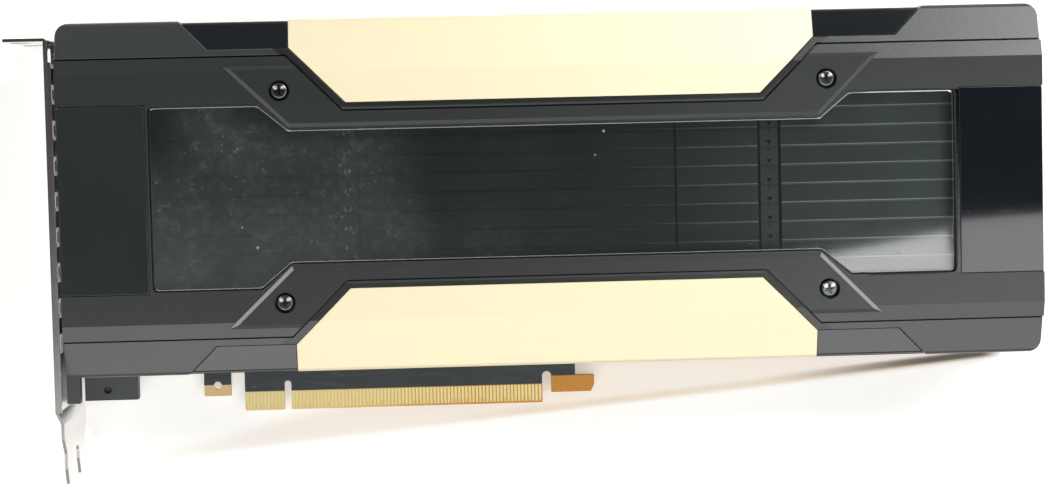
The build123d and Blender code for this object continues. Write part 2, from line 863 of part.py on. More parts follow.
def connector_place():
    """The power connector's X and Y stretch."""
    x = (shroud_right_x - base_inset - connector_depth, shroud_right_x - base_inset)
    return x, (mid_y + connector_d[0], mid_y + connector_d[1])


def cell_places():
    """The Y and Z centres of the power connector's cells."""
    y_mid = mid_y + sum(connector_d) / 2
    z_mid = board_top_z + connector_height / 2 + cell_lift
    return [(y_mid + (i - (connector_cells - 1) / 2) * cell_pitch, z_mid + j * cell_pitch / 2)
            for i in range(connector_cells) for j in (-1, 1)]


def power_connector():
    """The auxiliary power inlet's housing, open at the rear end."""
    x, y = connector_place()
    z = (board_top_z + connector_lift, board_top_z + connector_height)
    body = block(x, y, z)
    latch_y = (sum(y) / 2 - latch_half, sum(y) / 2 + latch_half)
    body = body + block((x[1] - latch_x[1], x[1] - latch_x[0]), latch_y, (z[1], z[1] + latch_height))
    for cell_y, cell_z in cell_places():
        across = (cell_y - cell_side / 2, cell_y + cell_side / 2)
        up = (cell_z - cell_side / 2, cell_z + cell_side / 2)
        body = body - block((x[1] - cell_depth, x[1] + over), across, up)
    return body


def power_pins():
    """The contact pins inside the power connector's cells."""
    x, _ = connector_place()
    half = pin_side / 2
    reach = (x[1] - cell_depth, x[1] - pin_tip_set)
    return [block(reach, (y - half, y + half), (z - half, z + half)) for y, z in cell_places()]


# Back of the card
def backplate():
    """The stiff back sheet, with countersinks and a window over the spring plate."""
    x = (shroud_left_x + base_inset, shroud_right_x - base_inset)
    sheet = prism(rounded(x, shroud_half - base_inset, base_corner_r), rest_z, backplate_in_z)
    bay = (gpu_x - spring_window_half, gpu_x + spring_window_half)
    window = rounded(bay, spring_window_half, base_corner_r)
    sheet = sheet - prism(window, rest_z - over, backplate_in_z + over)
    for px, py in board_screw_places():
        sheet = sheet - countersink(px, py, sink_gap)
    return sheet


def countersink(x, y, gap):
    """The cone of a flush screw head, or with a gap the hole that takes it."""
    cone = Cone(sink_r + gap, screw_r + gap, backplate_thick)
    return Pos(x, y, rest_z + backplate_thick / 2) * cone


def backplate_screws():
    """Flush screws from the backplate through the board into the base plate."""
    shank_z = (backplate_in_z, base_floor_z + board_screw_grip)
    return [countersink(x, y, 0) + rod(x, y, screw_r, shank_z) for x, y in board_screw_places()]


def board_spacers():
    """The washers that hold the board off the backplate."""
    z = (backplate_in_z, board_back_z)
    spacers = []
    for x, y in board_screw_places():
        hexagon = prism(Pos(x, y) * RegularPolygon(boss_r, 6, major_radius=False), *z)
        spacers.append(hexagon - rod(x, y, screw_r + hole_gap, z))
    return spacers


def insulator():
    """The thin film on the inside of the backplate."""
    x = (shroud_left_x + base_wall, shroud_right_x - base_wall)
    z = (backplate_in_z, backplate_in_z + film_thick)
    film = prism(rounded(x, shroud_half - base_wall, base_corner_r), *z)
    half = spring_window_half + film_inset
    window = rounded((gpu_x - half, gpu_x + half), half, base_corner_r)
    film = film - prism(window, z[0] - over, z[1] + over)
    for px, py in board_screw_places():
        half = boss_r + 2 * hole_gap
        film = film - block((px - half, px + half), (py - half, py + half), (z[0] - over, z[1] + over))
    return film


def spring_plate():
    """The sprung frame behind the processor that pulls the vapour chamber down."""
    outer = retention_half + spring_rim
    x = (gpu_x - outer, gpu_x + outer)
    plate = prism(rounded(x, outer, base_corner_r), spring_top_z - spring_thick, spring_top_z)
    window = Rectangle(2 * spring_open_half, 2 * spring_open_half)
    window = Pos(gpu_x, mid_y) * chamfer(window.vertices(), spring_open_cut)
    plate = plate - prism(window, rest_z, board_back_z)
    for px, py in retention_places():
        plate = plate - rod(px, py, screw_r + hole_gap, (rest_z, board_back_z))
    return plate


def spring_screws():
    """The four screws of the spring plate."""
    seat_z = spring_top_z - spring_thick
    head = (seat_z - spring_head, seat_z)
    shank = (seat_z - spring_head / 2, chamber_low_z + chamber_gap)
    return [rod(x, y, pan_r, head) + rod(x, y, screw_r, shank) for x, y in retention_places()]


# Write every node
save("io_bracket", io_bracket())
save("bracket_screws", *bracket_screws())
save("circuit_board", circuit_board())
save("edge_contacts", *edge_contacts())
save("centre_frame", centre_frame())
save("upper_edge_cover", edge_cover(1))
save("lower_edge_cover", edge_cover(-1))
save("upper_gold_panel", gold_panel(1))
save("lower_gold_panel", gold_panel(-1))
for side_name, side_sign in (("upper", 1), ("lower", -1)):
    for end_name in ("front", "rear"):
        save(f"{side_name}_{end_name}_gloss_trim", gloss_trim(side_sign, end_name))
save("window_panel", window_panel())
left_bed, right_bed = plate_ends()
save("left_end_plate", end_plate(left_bed))
save("right_end_plate", end_plate(right_bed))
shroud_tip_z = deck_z - skin - shroud_screw_grip
save("shroud_screws", *[pan_screw(x, y, face_z, shroud_tip_z) for x, y in pillar_places()])
save("front_fin_stack", *fin_stack(front_fins_x, front_lock_x))
save("rear_fin_stack", *fin_stack(rear_fins_x, rear_lock_x))
save("vapour_chamber", vapour_chamber())
save("base_plate", base_plate())
package = (package_side, package_side)
package_low_z = board_top_z + package_lift
package_height = package_top_z - package_low_z
save("package_substrate", on_board(gpu_x, mid_y, package, package_low_z, package_height))
save("package_ring", package_ring())
save("interposer", on_board(gpu_x, mid_y, interposer[:2], package_top_z, interposer[2]))
die_low_z = package_top_z + interposer[2]
save("processor_die", on_board(gpu_x, mid_y, die, die_low_z, die_top_z - die_low_z))
save("memory_stacks", *memory_stacks())
save("power_inductors", *power_inductors())
save("power_stages", *power_column(stage_size[2]))
pad_low_z = board_top_z + stage_size[2]
save("thermal_pads", *power_column(base_floor_z - pad_low_z, pad_low_z))
save("bulk_capacitors", *bulk_capacitors())
save("controller_chips", *controller_chips())
save("power_connector", power_connector())
save("power_pins", *power_pins())
save("backplate", backplate())
save("backplate_screws", *backplate_screws())
save("board_spacers", *board_spacers())
save("insulator_film", insulator())
save("spring_plate", spring_plate())
save("spring_screws", *spring_screws())
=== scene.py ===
import math

import bmesh
import bpy
from mathutils import Matrix, Vector


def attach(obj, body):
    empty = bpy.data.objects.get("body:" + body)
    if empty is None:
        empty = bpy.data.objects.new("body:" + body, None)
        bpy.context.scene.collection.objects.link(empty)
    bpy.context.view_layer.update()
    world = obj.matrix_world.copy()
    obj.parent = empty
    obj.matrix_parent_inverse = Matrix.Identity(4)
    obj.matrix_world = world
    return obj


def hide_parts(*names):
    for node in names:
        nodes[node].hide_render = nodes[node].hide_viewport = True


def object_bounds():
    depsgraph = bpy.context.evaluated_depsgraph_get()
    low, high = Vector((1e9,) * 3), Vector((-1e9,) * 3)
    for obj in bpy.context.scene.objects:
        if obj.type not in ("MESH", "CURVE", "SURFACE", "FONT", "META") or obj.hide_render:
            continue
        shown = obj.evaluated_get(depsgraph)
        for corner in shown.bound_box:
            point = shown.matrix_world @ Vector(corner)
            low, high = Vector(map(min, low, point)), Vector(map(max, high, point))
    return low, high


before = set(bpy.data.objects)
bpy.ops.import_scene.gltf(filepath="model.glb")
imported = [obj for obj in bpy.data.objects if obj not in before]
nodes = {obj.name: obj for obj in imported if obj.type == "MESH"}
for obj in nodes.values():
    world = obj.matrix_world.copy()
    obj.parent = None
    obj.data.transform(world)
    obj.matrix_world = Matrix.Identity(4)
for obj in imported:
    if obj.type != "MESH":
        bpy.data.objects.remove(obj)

cad_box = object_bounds()
mm = 0.001

# Places on the card that the finishes need, in metres
mid_y = 61.35 * mm
fin_pitch = 5.15 * mm
front_lock_x = 19.4 * mm
rear_lock_x = 133.9 * mm
screw_middle_x, screw_reach_x, screw_reach_y = 75.5 * mm, 73.4 * mm, 28.35 * mm
waist_middle_x, waist_reach_x = 75.3 * mm, 71.9 * mm
waist_top, waist_low = 37.35 * mm, 23.85 * mm
waist_slope = math.radians(42.4)
front_lock_half, rear_lock_half = 3.1 * mm, 2.8 * mm
web_x, web_half = 183.1 * mm, 2.7 * mm
mask_low_y = 7.6 * mm
front_tab_x, rear_tab_x = -14.0 * mm, 73.5 * mm
contact_top_y = 5.45 * mm
rest_z = cad_box[0][2]


def linear(red, green, blue):
    """A screen colour of 0 to 255 as the linear colour that a shader takes."""
    out = []
    for level in (red, green, blue):
        c = level / 255
        out.append(c / 12.92 if c < 0.04045 else ((c + 0.055) / 1.055) ** 2.4)
    return (*out, 1.0)


# Shader maths as expressions
class Signal:
    """One output of a shader node; arithmetic on it adds Math nodes."""

    def __init__(self, graph, socket):
        self.graph = graph
        self.socket = socket

    def op(self, operation, *others, first=None):
        values = [self, *others] if first is None else [first, self]
        return self.graph.node("ShaderNodeMath", {"operation": operation}, dict(enumerate(values)))

    def __add__(self, other):
        return self.op("ADD", other)

    __radd__ = __add__

    def __mul__(self, other):
        return self.op("MULTIPLY", other)

    __rmul__ = __mul__

    def __sub__(self, other):
        return self.op("SUBTRACT", other)

    def __rsub__(self, other):
        return self.op("SUBTRACT", first=other)

    def top(self, other):
        """The larger of two signals."""
        return self.op("MAXIMUM", other)

    def above(self, low, high):
        """0 below low, 1 above high, smooth between; high under low turns it round."""
        settings = {"interpolation_type": "SMOOTHSTEP"}
        return self.graph.node("ShaderNodeMapRange", settings, {0: self, 1: low, 2: high})

    def within(self, centre, half, soft):
        """1 within half of the centre, falling off over the soft width."""
        return (self - centre).op("ABSOLUTE").above(half + soft, half)

    def wave(self, pitch, offset=0.0):
        """Distance from the nearest of the lines that lie a pitch apart."""
        return (self - offset).op("PINGPONG", pitch / 2)

    def along_pitch(self, pitch, offset=0.0):
        """Distance past the last of the lines that lie a pitch apart."""
        return (self - offset).op("FLOORED_MODULO", pitch)


class Graph:
    """A node tree with helpers that return signals."""

    def __init__(self, tree):
        self.tree = tree

    def node(self, kind, settings, sockets, output=0):
        """Adds a node with its settings and inputs and returns one of its outputs."""
        added = self.tree.nodes.new(kind)
        for key, value in settings.items():
            setattr(added, key, value)
        for key, value in sockets.items():
            if isinstance(value, Signal):
                self.tree.links.new(value.socket, added.inputs[key])
            else:
                added.inputs[key].default_value = value
        return Signal(self, added.outputs[output])

    def split(self, vector):
        """The three parts of a vector."""
        x = self.node("ShaderNodeSeparateXYZ", {}, {0: vector})
        return [Signal(self, out) for out in x.socket.node.outputs]

    def mix(self, share, first, second):
        """A colour between two colours."""
        settings = {"data_type": "RGBA"}
        return self.node("ShaderNodeMix", settings, {0: share, 6: first, 7: second}, 2)

    def seen_as_white(self):
        """1 for rays that look at the surround directly, in metal or through glass."""
        rays = [self.node("ShaderNodeLightPath", {}, {}, kind + " Ray")
                for kind in ("Is Camera", "Is Glossy", "Is Transmission")]
        return rays[0].top(rays[1]).top(rays[2])


class Paint(Graph):
    """A material whose Principled shader is fed by signals."""

    def __init__(self, name, **constants):
        self.material = bpy.data.materials.new(name)
        self.material.use_nodes = True
        super().__init__(self.material.node_tree)
        self.shader = self.tree.nodes["Principled BSDF"]
        self.place = self.node("ShaderNodeTexCoord", {}, {}, "Object")
        self.x, self.y, self.z = self.split(self.place)
        for socket, value in constants.items():
            self.shader.inputs[socket.replace("_", " ")].default_value = value

    def stretched(self, stretch):
        return self.node("ShaderNodeMapping", {}, {"Vector": self.place, "Scale": stretch})

    def noise(self, scale, detail=2.0, stretch=(1, 1, 1)):
        """Cloudy noise with so many waves to a metre, stretched along the axes."""
        sockets = {"Vector": self.stretched(stretch), "Scale": scale, "Detail": detail}
        return self.node("ShaderNodeTexNoise", {}, sockets)

    def cells(self, scale, stretch=(1, 1, 1)):
        """Distance from scattered points."""
        sockets = {"Vector": self.stretched(stretch), "Scale": scale}
        return self.node("ShaderNodeTexVoronoi", {}, sockets, "Distance")

    def facing(self, axis):
        """How far the surface faces along one axis, from -1 to 1."""
        return self.split(self.node("ShaderNodeNewGeometry", {}, {}, "Normal"))[axis]

    def edges(self):
        """1 on the rounded edges of a softened piece."""
        return self.node("ShaderNodeAttribute", {"attribute_name": "rounded_edge"}, {}, "Fac")

    def feed(self, socket, signal):
        self.tree.links.new(signal.socket, self.shader.inputs[socket])

    def bump(self, height, depth, strength=1.0):
        """Feeds a height, in metres once multiplied by depth, to the normal."""
        sockets = {"Height": height, "Distance": depth, "Strength": strength}
        self.feed("Normal", self.node("ShaderNodeBump", {}, sockets))


def textured_plastic(name, dark, light, rough, arms=False):
    """Spark-textured moulding: fine even grain, cloudy tone, edges with real wear and a painted
    highlight, a little dust.

    The arms also have painted highlights on the ridges towards the window and on the rims round the
    screws.
    """
    paint = Paint(name, Specular_IOR_Level=0.5)
    grain = paint.noise(2300, 3.0)
    cloud = paint.noise(28, 3.0)
    dust = paint.noise(900, 2.0).above(0.68, 0.8) * paint.noise(60, 2.0).above(0.48, 0.7)
    # edges: real wear lowers the roughness, and their lighter tone is a painted highlight
    rubbed_and_highlit = paint.edges() * (0.35 + 0.5 * paint.noise(120, 2.0))
    tone = paint.mix(grain * 0.55 + cloud * 0.45, dark, light)
    tone = paint.mix(rubbed_and_highlit, tone, linear(92, 96, 95))
    rough = rough + grain * 0.1 + cloud * 0.05 - rubbed_and_highlit * 0.12
    if arms:
        across = (paint.x - screw_middle_x).op("ABSOLUTE") - screw_reach_x
        along = (paint.y - mid_y).op("ABSOLUTE") - screw_reach_y
        reach = (across * across + along * along).op("SQRT")
        # painted highlight: pale tone on the rounded edges round the screws
        tone = paint.mix(reach.above(0.0045, 0.0036) * paint.edges(), tone, linear(172, 176, 172))
        # painted highlight on the sloped ridges, stronger where they face +Y
        ridge_highlight = paint.facing(0).op("ABSOLUTE").above(0.2, 0.3) * paint.facing(2).above(0.6, 0.75)
        ridge_highlight = ridge_highlight * (0.08 + paint.facing(1).above(0.1, 0.2) * 0.17) * (1 - paint.edges())
        tone = paint.mix(ridge_highlight, tone, linear(186, 190, 186))
        web = paint.x.within(web_x, web_half, 0.0004) * along.above(-0.0035, -0.0038)
        tone = paint.mix(web, tone, linear(8, 9, 9))
        rough = rough * (1 - web * 0.8)
    else:
        from_end = waist_reach_x - (paint.x - waist_middle_x).op("ABSOLUTE")
        from_middle = (paint.y - mid_y).op("ABSOLUTE")
        slant = from_end * math.sin(waist_slope) + (from_middle - waist_top) * math.cos(waist_slope)
        strip = slant.op("MINIMUM", from_middle - waist_low)
        strip = strip.above(-0.0003, -0.0001) * strip.above(0.0025, 0.0023)
        tone = paint.mix(strip * 0.85, tone, linear(6, 7, 7))
    paint.feed("Base Color", paint.mix(dust * 0.2, tone, linear(140, 142, 140)))
    paint.feed("Roughness", rough)
    paint.bump(grain, 0.00006, 0.5)
    return paint.material


def gloss_plastic(name, colour):
    """High-gloss moulding with faint swirls and a few specks of dust."""
    paint = Paint(name, Specular_IOR_Level=0.5)
    haze = paint.noise(45, 3.0)
    hair = paint.noise(2400, 1.0, stretch=(0.06, 1, 1)).above(0.7, 0.78)
    speck = paint.cells(520).above(0.12, 0.04) * paint.noise(80, 1.0).above(0.54, 0.66)
    tone = paint.mix(haze * 0.6, colour, linear(27, 31, 36))
    # painted highlight: lighter tone along the rounded edges
    tone = paint.mix(paint.edges() * 0.5, tone, linear(70, 74, 76))
    paint.feed("Base Color", paint.mix(speck * 0.15, tone, linear(120, 120, 118)))
    paint.feed("Roughness", 0.03 + haze * 0.03 + hair * 0.03 + speck * 0.08)
    paint.bump(paint.noise(14, 1.0), 0.0004, 0.1)
    return paint.material


def satin_metal(name, dark, light, rough, metallic, along=(1, 1, 1), grain_scale=1600):
    """Satin sheet: fine directional grain and a slow change of tone."""
    paint = Paint(name, Metallic=metallic)
    grain = paint.noise(grain_scale, 2.0, stretch=along)
    cloud = paint.noise(22, 2.0)
    paint.feed("Base Color", paint.mix(grain * 0.5 + cloud * 0.5, dark, light))
    paint.feed("Roughness", rough + grain * 0.1 + cloud * 0.05)
    paint.bump(grain, 0.00002, 0.4)
    return paint.material


def champagne_sheet():
    """Champagne anodised sheet, with painted light making the upper panel a touch paler towards the
    rear end, and faint smears.
    """
    paint = Paint("champagne_anodised", Metallic=0.15, Specular_IOR_Level=0.4)
    grain = paint.noise(2600, 2.0)
    smear = paint.noise(30, 3.0, stretch=(0.25, 1, 1))
    # painted light: the upper panel turns paler towards the rear end
    pale = paint.x.above(0.0, 0.15) * paint.y.above(0.03, 0.08) * 0.45
    tone = paint.mix(grain * 0.15 + smear * 0.3 + pale, linear(243, 229, 190), linear(249, 241, 209))
    rub = paint.noise(420, 3.0, stretch=(0.3, 1, 1)).above(0.68, 0.76)
    tone = paint.mix(rub * 0.1, tone, linear(222, 200, 150))
    paint.feed("Base Color", paint.mix(paint.edges() * 0.3, tone, linear(196, 172, 120)))
    paint.feed("Roughness", 0.42 + grain * 0.1 + smear * 0.1)
    paint.bump(grain, 0.00002, 0.3)
    return paint.material


def clear_panel():
    """Clear panel: painted highlight on the bevelled rim, brightest where it faces +Y and dark where
    it faces along X, handling dust in patches, and a few motes.
    """
    paint = Paint("smoked_clear_panel", IOR=2.4)
    lower = paint.y.above(0.09, 0.035) * 0.2
    patch = (paint.noise(31, 4.0, stretch=(1, 0.7, 1)) + lower).above(0.36, 0.86)
    smudge = paint.noise(420, 4.0).above(0.45, 0.85) * patch
    speck = paint.cells(700).above(0.36, 0.06) * paint.noise(240, 2.0).above(0.5, 0.62) * patch
    mote = paint.cells(130).above(0.07, 0.03) * paint.noise(40, 1.0).above(0.52, 0.58)
    left = paint.x.above(0.115, 0.0)
    low_left = paint.x.above(0.07, -0.03) * paint.y.above(0.07, 0.034)
    haze = paint.noise(60, 3.0, stretch=(0.6, 1, 1))
    dust = ((patch * 0.17 + smudge * 0.26 + speck * 0.42) * left + mote).op("MINIMUM", 1.0)
    # painted highlight on the rim: its tone depends on which way each bevel faces
    slope = paint.facing(1)
    sideways = paint.facing(0).op("ABSOLUTE") - slope.op("ABSOLUTE")
    side = paint.edges() * sideways.above(0.02, 0.1)
    rim = paint.edges() - side
    rim_highlight_tone = paint.mix(slope.above(0.1, 0.4), linear(50, 56, 54), linear(222, 225, 222))
    rim_highlight_tone = paint.mix(slope.above(-0.1, -0.4), rim_highlight_tone, linear(104, 110, 107))
    tone = paint.mix(haze, linear(14, 19, 18), linear(38, 45, 43))
    tone = paint.mix(low_left * 0.35, tone, linear(120, 126, 122))
    tone = paint.mix(dust * 0.75, tone, linear(176, 182, 179))
    tone = paint.mix(side, tone, linear(26, 30, 29))
    paint.feed("Base Color", paint.mix(rim, tone, rim_highlight_tone))
    paint.feed("Alpha", 0.3 + haze * 0.1 + dust * 0.3 + rim * 0.5)
    paint.feed("Roughness", 0.035 + dust * 0.3 + haze * 0.02 + rim * 0.2 + side * 0.6)
    return paint.material


def fin_metal():
    """Dark plated fins: rolling marks, painted light towards the rear end, painted highlights along
    the folds turning to dark lines of painted shade towards the front, and the lock columns' slits
    and eyes darkened with painted shade.
    """
    paint = Paint("dark_plated_fins")
    rolled = paint.noise(700, 2.0, stretch=(0.04, 1, 1))
    cloud = paint.noise(38, 3.0)
    past = paint.y.along_pitch(fin_pitch, mid_y)
    from_front = (paint.x - front_lock_x).op("ABSOLUTE")
    from_rear = (paint.x - rear_lock_x).op("ABSOLUTE")
    slit_half, slit_soft = 0.00028, 0.00012
    slit = from_front.within(front_lock_half, slit_half, slit_soft)
    slit = slit.top(from_rear.within(rear_lock_half, slit_half, slit_soft))
    taper = (past - 0.00045) * 0.62
    eye = (taper - from_rear).above(-0.00008, 0.00008) * past.within(0.0011, 0.00062, 0.0001)
    under = from_rear.above(0.0003, 0.0002) * past.within(0.0044, 0.0002, 0.0001)
    flaw = paint.noise(900, 2.0).above(0.4, 0.6)
    pip = from_front.within(0.0006, 0.0002, 0.0004) * past.within(0.0012, 0.0003, 0.0005) * flaw
    pit = from_front.above(0.0003, 0.0001) * past.within(0.0015, 0.0006, 0.0002)
    # painted shade: the slits, eyes and pits are darkened as hollows, besides their pressed relief
    pressed_hollows_shaded = slit.top(eye).top(under * 0.8).top(pit * 0.9)
    # painted light: the fins turn lighter towards the rear end
    fin_painted_light = paint.x.above(0.075, 0.17)
    tone = paint.mix(rolled * 0.5 + cloud * 0.5, linear(36, 43, 41), linear(68, 77, 74))
    tone = paint.mix(fin_painted_light * (0.15 + cloud * 0.8), tone, linear(118, 134, 127))
    tone = paint.mix(from_rear.above(0.0025, 0.0023) * 0.5, tone, linear(110, 116, 112))
    tone = paint.mix(pip * 0.8, tone, linear(190, 196, 190))
    # painted highlight along the folds towards the rear end, and painted shade as dark lines towards
    # the front
    fold = paint.edges().top(past.within(0.0003, 0.00006, 0.0001) * paint.facing(2).above(0.5, 0.7))
    fold = fold * (1 - from_rear.above(0.0033, 0.0031))
    fold_highlight_tone = paint.mix(fin_painted_light, linear(24, 28, 27), linear(250, 255, 250))
    tone = paint.mix(fold * 0.9, tone, fold_highlight_tone)
    paint.feed("Base Color", paint.mix(pressed_hollows_shaded * 0.92, tone, linear(6, 7, 7)))
    paint.feed("Metallic", 0.8 - fold * fin_painted_light * 0.7)
    paint.feed("Roughness", 0.34 + rolled * 0.1 + cloud * 0.06 - fold * 0.12)
    paint.bump(pressed_hollows_shaded * -1.0, 0.0002, 0.6)
    return paint.material


def bracket_steel():
    """Nickel-plated sheet, brushed along its length, with small rubs."""
    paint = Paint("bracket_steel", Metallic=1.0)
    brushed = paint.noise(1500, 2.0, stretch=(1, 0.04, 1))
    cloud = paint.noise(45, 3.0)
    rub = paint.noise(500, 2.0, stretch=(1, 0.2, 1)).above(0.66, 0.74)
    tone = paint.mix(brushed * 0.5 + cloud * 0.5, linear(222, 219, 215), linear(246, 243, 239))
    # painted shade: faces turned up are darker
    tone = paint.mix(paint.facing(2).above(0.5, 0.8) * 0.8, tone, linear(104, 103, 102))
    paint.feed("Base Color", paint.mix(rub * 0.3, tone, linear(150, 146, 140)))
    paint.feed("Roughness", 0.18 + brushed * 0.12 + rub * 0.15)
    paint.bump(brushed, 0.00001, 0.3)
    return paint.material


def board_laminate():
    """Dark solder mask with copper-side relief; bare amber laminate where the mask stops."""
    paint = Paint("board_laminate", Specular_IOR_Level=0.45)
    weave = paint.x.wave(0.0009).above(0.0, 0.00045) + paint.y.wave(0.0009).above(0.0, 0.00045)
    cloud = paint.noise(60, 3.0)
    run = paint.noise(210, 1.0, stretch=(0.25, 1, 1)).within(0.5, 0.02, 0.02)
    via = paint.cells(330).above(0.12, 0.08) * paint.noise(70, 1.0).above(0.5, 0.55)
    mask = paint.mix(cloud, linear(28, 35, 38), linear(42, 50, 52))
    mask = paint.mix(run * 0.2, mask, linear(66, 74, 74))
    mask = paint.mix(via * 0.5, mask, linear(110, 112, 104))
    bare = paint.mix(weave * 0.25 + cloud * 0.5, linear(204, 132, 44), linear(236, 166, 72))
    bare = paint.mix(paint.x.above(0.06, 0.0) * 0.95, bare, linear(255, 222, 158))
    tab = paint.x.above(front_tab_x + mm, front_tab_x) + paint.x.above(rear_tab_x, rear_tab_x + mm)
    below = paint.y.above(mask_low_y, mask_low_y - 0.00015) * tab
    fingers = paint.y.above(contact_top_y, contact_top_y - 0.00015) * (1 - tab)
    rim = paint.facing(2).op("ABSOLUTE").above(0.5, 0.3)
    share = (below + fingers + rim).op("MINIMUM", 1.0)
    paint.feed("Base Color", paint.mix(share, mask, bare))
    paint.feed("Roughness", 0.36 + cloud * 0.1 + share * 0.12)
    paint.bump(run + via * 0.5, 0.00003, 0.4)
    return paint.material


def contact_gold():
    """Hard gold plating with wipe marks along the contacts."""
    paint = Paint("contact_gold", Metallic=0.15)
    wipe = paint.noise(1800, 2.0, stretch=(1, 0.05, 1))
    cloud = paint.noise(120, 2.0)
    worn = paint.y.above(0.0024, 0.0012) * wipe.above(0.5, 0.6)
    tone = paint.mix(wipe * 0.4 + cloud * 0.6, linear(253, 230, 146), linear(255, 246, 182))
    paint.feed("Base Color", paint.mix(worn * 0.35, tone, linear(212, 164, 88)))
    paint.feed("Roughness", 0.3 + wipe * 0.12)
    paint.bump(wipe, 0.00001, 0.4)
    return paint.material


def screw_chrome():
    """Dark chrome-like plating of the shroud screws, with painted glints at the upper left and upper
    right of each head and painted shade in the cross recess.
    """
    paint = Paint("dark_chrome_screws")
    cloud = paint.noise(500, 2.0)
    ring = paint.noise(2600, 1.0)
    u = paint.x.along_pitch(2 * screw_reach_x, screw_middle_x - 2 * screw_reach_x) - screw_reach_x
    v = paint.y.along_pitch(2 * screw_reach_y, mid_y - 2 * screw_reach_y) - screw_reach_y
    wide, high = u.op("ABSOLUTE"), v.op("ABSOLUTE")
    arms = wide.above(0.0003, 0.0002) * high.above(0.0011, 0.001)
    # painted shade in the cross recess
    cross_recess_shade = arms.top(high.above(0.0003, 0.0002) * wide.above(0.0011, 0.001))
    aside, up = wide - 0.00095, v - 0.0008
    # painted glints at the upper left and upper right of each head
    painted_glint = (aside * aside + up * up).op("SQRT").above(0.00075, 0.0003)
    painted_glint = painted_glint * paint.facing(2).above(0.3, 0.6) * (1 - cross_recess_shade)
    tone = paint.mix(cloud, linear(66, 70, 69), linear(104, 108, 106))
    tone = paint.mix(cross_recess_shade * 0.7, tone, linear(14, 15, 15))
    paint.feed("Base Color", paint.mix(painted_glint * 0.9, tone, linear(238, 240, 238)))
    paint.feed("Metallic", 1 - painted_glint * 0.7)
    paint.feed("Roughness", 0.2 + ring * 0.1)
    paint.bump(ring, 0.00001, 0.2)
    return paint.material


finishes = {
    "frame_plastic": textured_plastic("frame_plastic", linear(29, 33, 31), linear(42, 47, 45), 0.25,
                                      arms=True),
    "cover_plastic": textured_plastic("cover_plastic", linear(38, 43, 41), linear(56, 62, 59), 0.25),
    "gloss": gloss_plastic("gloss_black_moulding", linear(12, 16, 20)),
    "label_plate": gloss_plastic("label_plate_moulding", linear(49, 52, 52)),
    "gold_sheet": champagne_sheet(),
    "clear": clear_panel(),
    "fins": fin_metal(),
    "bracket": bracket_steel(),
    "board": board_laminate(),
    "contacts": contact_gold(),
    "screws": screw_chrome(),
    "steel": satin_metal("plain_zinc", linear(158, 160, 162), linear(196, 198, 200), 0.3, 1.0),
    "black_sheet": satin_metal("black_anodised", linear(24, 25, 27), linear(36, 38, 40), 0.38, 0.5),
    "casting": satin_metal("black_casting", linear(58, 62, 61), linear(84, 89, 86), 0.48, 0.3,
                           grain_scale=700),
    "copper": satin_metal("rolled_copper", linear(190, 112, 82), linear(222, 146, 112), 0.28, 1.0,
                          along=(0.1, 1, 1)),
    "ring": satin_metal("nickel_ring", linear(180, 180, 178), linear(208, 208, 205), 0.3, 1.0),
    "silicon": satin_metal("polished_silicon", linear(92, 96, 108), linear(126, 130, 142), 0.16, 0.8),
    "laminate": satin_metal("package_laminate", linear(30, 76, 48), linear(44, 98, 62), 0.4, 0.0),
    "ferrite": satin_metal("pressed_ferrite", linear(78, 80, 82), linear(104, 106, 108), 0.55, 0.2),
    "chip": satin_metal("chip_moulding", linear(34, 34, 36), linear(52, 52, 54), 0.5, 0.0),
    "pad": satin_metal("soft_pad", linear(150, 162, 178), linear(176, 188, 202), 0.8, 0.0),
    "socket": textured_plastic("socket_moulding", linear(22, 22, 24), linear(34, 34, 36), 0.4),
    "film": satin_metal("polyester_film", linear(44, 44, 48), linear(62, 62, 66), 0.3, 0.0),
    "spring": satin_metal("spring_steel", linear(140, 142, 144), linear(176, 178, 180), 0.28, 1.0,
                          along=(0.1, 1, 1)),
}

finish_of = {
    "io_bracket": "bracket",
    "bracket_screws": "steel",
    "circuit_board": "board",
    "edge_contacts": "contacts",
    "centre_frame": "frame_plastic",
    "upper_edge_cover": "cover_plastic",
    "lower_edge_cover": "cover_plastic",
    "upper_gold_panel": "gold_sheet",
    "lower_gold_panel": "gold_sheet",
    "upper_front_gloss_trim": "gloss",
    "upper_rear_gloss_trim": "gloss",
    "lower_front_gloss_trim": "gloss",
    "lower_rear_gloss_trim": "gloss",
    "window_panel": "clear",
    "left_end_plate": "label_plate",
    "right_end_plate": "gloss",
    "shroud_screws": "screws",
    "front_fin_stack": "fins",
    "rear_fin_stack": "fins",
    "vapour_chamber": "copper",
    "base_plate": "casting",
    "package_substrate": "laminate",
    "package_ring": "ring",
    "interposer": "silicon",
    "processor_die": "silicon",
    "memory_stacks": "silicon",
    "power_inductors": "ferrite",
    "power_stages": "chip",
    "bulk_capacitors": "chip",
    "controller_chips": "chip",
    "thermal_pads": "pad",
    "power_connector": "socket",
    "power_pins": "contacts",
    "backplate": "black_sheet",
    "backplate_screws": "steel",
    "board_spacers": "steel",
    "insulator_film": "film",
    "spring_plate": "spring",
    "spring_screws": "steel",
}

for node, finish in finish_of.items():
    mesh = nodes[node].data
    mesh.materials.clear()
    mesh.materials.append(finishes[finish])


def mirror_upper_half(shape):
    """Makes the half below the card's middle line the mirror of the upper half.

    The CAD frame lacks its lower raised arm, a fault of part.py, so this copy alone shows it.
    """
    parts = [*shape.verts, *shape.edges, *shape.faces]
    bmesh.ops.bisect_plane(shape, geom=parts, dist=0.0001 * mm, plane_co=(0, mid_y, 0),
                           plane_no=(0, 1, 0), clear_inner=True)
    parts = [*shape.verts, *shape.edges, *shape.faces]
    bmesh.ops.mirror(shape, geom=parts, matrix=Matrix.Translation((0, -mid_y, 0)),
                     merge_dist=0.002 * mm, axis="Y")
    bmesh.ops.recalc_face_normals(shape, faces=shape.faces)


